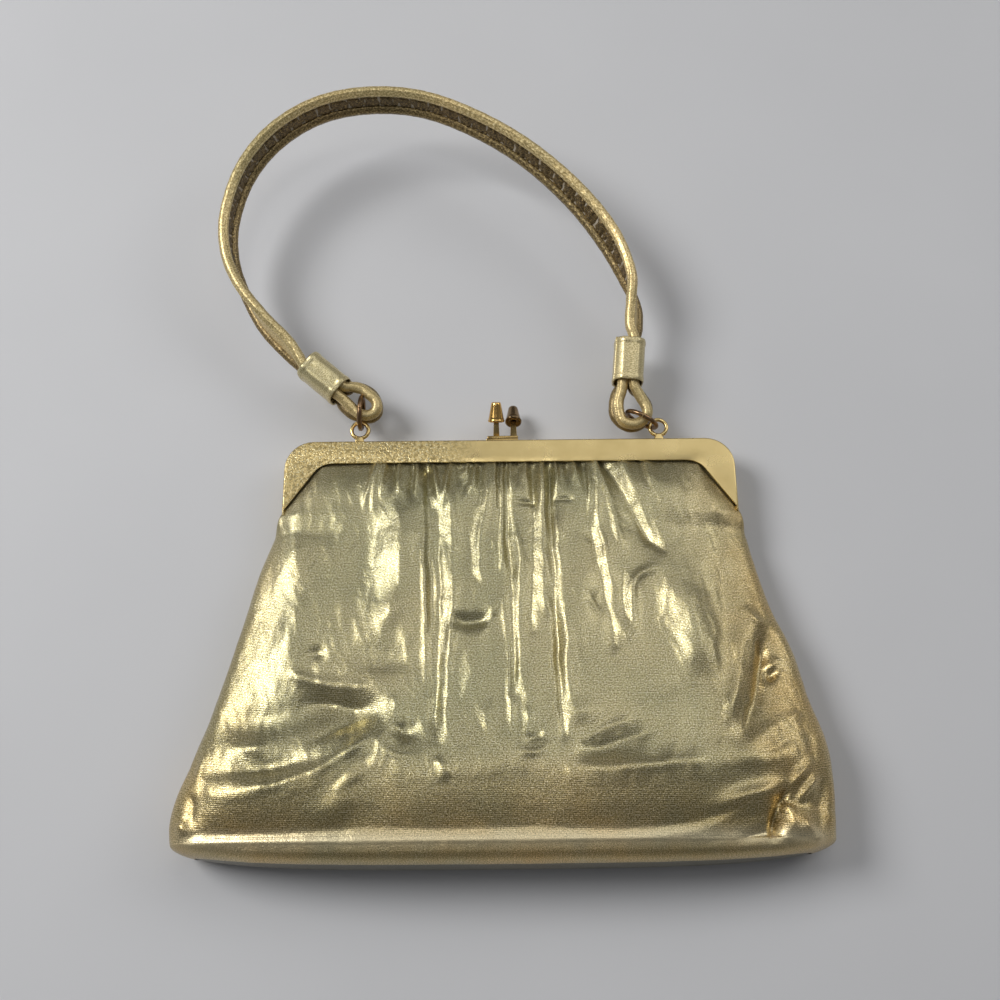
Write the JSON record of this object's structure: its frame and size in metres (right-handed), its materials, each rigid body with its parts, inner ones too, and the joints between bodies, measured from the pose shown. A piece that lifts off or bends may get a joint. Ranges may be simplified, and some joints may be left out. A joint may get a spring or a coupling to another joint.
{
  "type": "kiss lock frame purse",
  "caption": "Small evening purse lying on its back, with a hinged metal kiss lock frame, a gathered cloth pouch and a piped strap handle on jump rings.",
  "frame": {"origin": "on the flat back that the purse lies on, straight below the middle of the hinge line", "axes": "+X to the right seen from the front, +Y from the pouch towards the handle, +Z out of the front face"},
  "size_m": [0.2392, 0.3184, 0.0412],
  "materials": {
    "frame_brass": "satin gold-plated sheet brass, lightly pitted",
    "clasp_brass": "polished gold plate",
    "ring_bronze": "dark antiqued wire",
    "lame_cloth": "metallic gold woven cloth with fine ribs",
    "strap_backing": "darker gold cloth",
    "lining_cloth": "smooth satin lining",
    "card": "stiff pressed card and paper cord"
  },
  "bodies": {
    "pouch": {"rear_frame": "frame_brass", "hinge_rivet_left": "frame_brass", "hinge_rivet_right": "frame_brass", "rear_clasp_arm": "clasp_brass", "rear_clasp_knob": "clasp_brass", "front_panel": "lame_cloth", "rear_panel": "lame_cloth", "base_panel": "lame_cloth", "base_board": "card", "front_lining": "lining_cloth", "rear_lining": "lining_cloth", "base_lining": "lining_cloth", "rear_paper_cord": "card"},
    "front_half": {"front_frame": "frame_brass", "front_clasp_arm": "clasp_brass", "front_clasp_knob": "clasp_brass", "handle_eye_left": "clasp_brass", "handle_eye_right": "clasp_brass", "front_heading": "lame_cloth", "front_heading_lining": "lining_cloth", "front_paper_cord": "card"},
    "handle": {"strap_outer_band": "lame_cloth", "strap_inner_band": "strap_backing", "strap_core": "card", "strap_piping_front": "lame_cloth", "strap_piping_back": "lame_cloth", "sleeve_left": "lame_cloth", "sleeve_right": "lame_cloth"},
    "left_ring": {"ring_left": "ring_bronze"},
    "right_ring": {"ring_right": "ring_bronze"}
  },
  "joints": [
    {"name": "frame_open", "type": "hinge", "parent": "pouch", "child": "front_half", "pos_m": [0, 0, 0.0082], "axis": [1, 0, 0], "range_deg": [0, 90]},
    {"name": "handle_swing", "type": "hinge", "parent": "front_half", "child": "handle", "pos_m": [-0.0605, 0.0403, 0.012], "axis": [0.9999, -0.0149, 0], "range_deg": [-55, 40]},
    {"name": "ring_left_turn", "type": "hinge", "parent": "handle", "child": "left_ring", "pos_m": [-0.06011, 0.0442, 0.01316], "axis": [0.9986, -0.0517, -0.0082], "continuous": true},
    {"name": "ring_right_turn", "type": "hinge", "parent": "handle", "child": "right_ring", "pos_m": [0.05397, 0.04033, 0.01254], "axis": [0.4695, 0.8721, 0.1381], "continuous": true}
  ]
}
